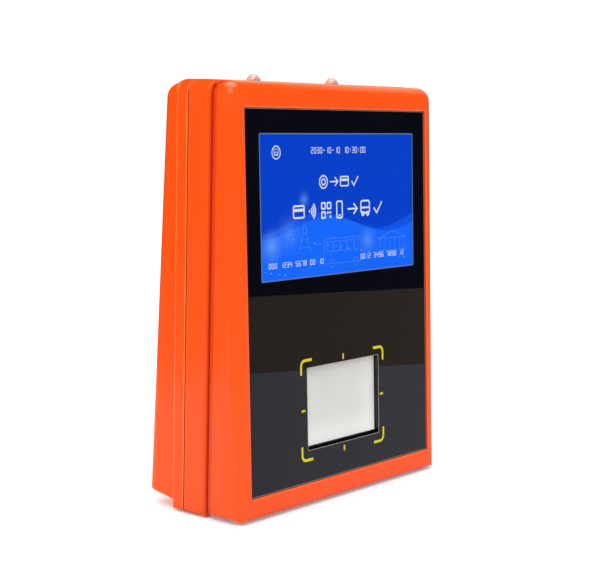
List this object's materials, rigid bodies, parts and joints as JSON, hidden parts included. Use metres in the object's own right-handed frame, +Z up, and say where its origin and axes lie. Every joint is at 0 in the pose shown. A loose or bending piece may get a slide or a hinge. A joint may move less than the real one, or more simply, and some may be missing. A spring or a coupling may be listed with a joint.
{
  "type": "bus fare validator",
  "caption": "Pole-mounted bus fare box that reads cards and codes: orange wedge case, leaning glass panel with a display, lit scan window, top lamps and rear service door.",
  "frame": {"origin": "centre of the bounding box in X and Y, at the underside", "axes": "+X to the viewer's right when facing the panel, +Y towards the mounting side, +Z up; the reader panel faces -Y and leans back"},
  "size_m": [0.204, 0.0806, 0.2628],
  "materials": {
    "orange_shell": "satin, lightly textured moulding",
    "seal_rubber": "matt",
    "panel_glass": "polished, tinted, black behind",
    "panel_print": "black print on film",
    "foam_tape": "matt foam",
    "frosted_window": "light grey frosted",
    "bright_steel": "tin plated",
    "screw_steel": "zinc plated",
    "display": "lit blue picture",
    "light_plastic": "moulded",
    "dark_plastic": "moulded, fine grain",
    "lens_glass": "coated",
    "lamp": "clear epoxy",
    "circuit_board": "solder mask",
    "brass": "turned",
    "ribbon_film": "polyimide film",
    "clear_dome": "clear moulding",
    "ceramic": "fired ceramic",
    "green_plastic": "moulded",
    "red_button": "moulded",
    "yellow_button": "moulded",
    "lock_chrome": "polished"
  },
  "bodies": {
    "case": {"front_housing": "orange_shell", "rear_cover": "orange_shell", "case_gasket": "seal_rubber", "case_screws": "screw_steel", "panel_glass": "panel_glass", "panel_print": "panel_print", "panel_tape": "foam_tape", "display_frame": "bright_steel", "display_panel": "display", "display_backlight": "light_plastic", "display_bracket": "bright_steel", "display_screws": "screw_steel", "scan_window": "frosted_window", "scan_window_gasket": "seal_rubber", "scanner_hood": "dark_plastic", "scanner_body": "dark_plastic", "scanner_lens": "lens_glass", "scanner_lamps": "lamp", "reader_screws": "screw_steel", "card_antenna_board": "circuit_board", "main_board": "circuit_board", "board_standoffs": "brass", "board_screws": "screw_steel", "processor_shield": "bright_steel", "mobile_modem": "bright_steel", "security_sockets": "dark_plastic", "board_headers": "light_plastic", "clock_battery": "bright_steel", "buzzer": "dark_plastic", "ribbons": "ribbon_film", "status_dome_left": "clear_dome", "status_dome_right": "clear_dome", "status_led_board": "circuit_board", "status_leds": "lamp", "led_board_screws": "screw_steel", "satellite_antenna": "ceramic", "power_board": "circuit_board", "power_components": "dark_plastic", "speaker": "dark_plastic", "cover_screws": "screw_steel", "mount_inserts": "brass", "cable_grommet": "seal_rubber", "service_tray": "dark_plastic", "service_screws": "screw_steel", "service_board": "circuit_board", "button_switches": "dark_plastic", "data_port": "bright_steel", "power_terminal": "green_plastic", "sim_socket": "dark_plastic", "sim_card": "light_plastic", "hinge_pin": "bright_steel"},
    "door": {"service_door": "orange_shell", "door_gasket": "seal_rubber", "lock_barrel": "lock_chrome", "lock_nut": "screw_steel"},
    "lock": {"lock_plug": "lock_chrome", "lock_cam": "bright_steel"},
    "reset_key": {"reset_button": "red_button"},
    "setup_key": {"setup_button": "yellow_button"}
  },
  "joints": [
    {"name": "door_hinge", "type": "hinge", "parent": "case", "child": "door", "pos_m": [0, 0.03702, 0.02326], "axis": [-1, 0, 0], "range_deg": [0, 105]},
    {"name": "lock_turn", "type": "hinge", "parent": "door", "child": "lock", "pos_m": [0, 0.03613, 0.06586], "axis": [0, -0.9991, -0.042], "range_deg": [0, 90]},
    {"name": "reset_press", "type": "slide", "parent": "case", "child": "reset_key", "axis": [0, -0.9991, -0.042], "range_m": [0, 0.001], "stiffness_N_per_m": 900},
    {"name": "setup_press", "type": "slide", "parent": "case", "child": "setup_key", "axis": [0, -0.9991, -0.042], "range_m": [0, 0.001], "stiffness_N_per_m": 900}
  ]
}
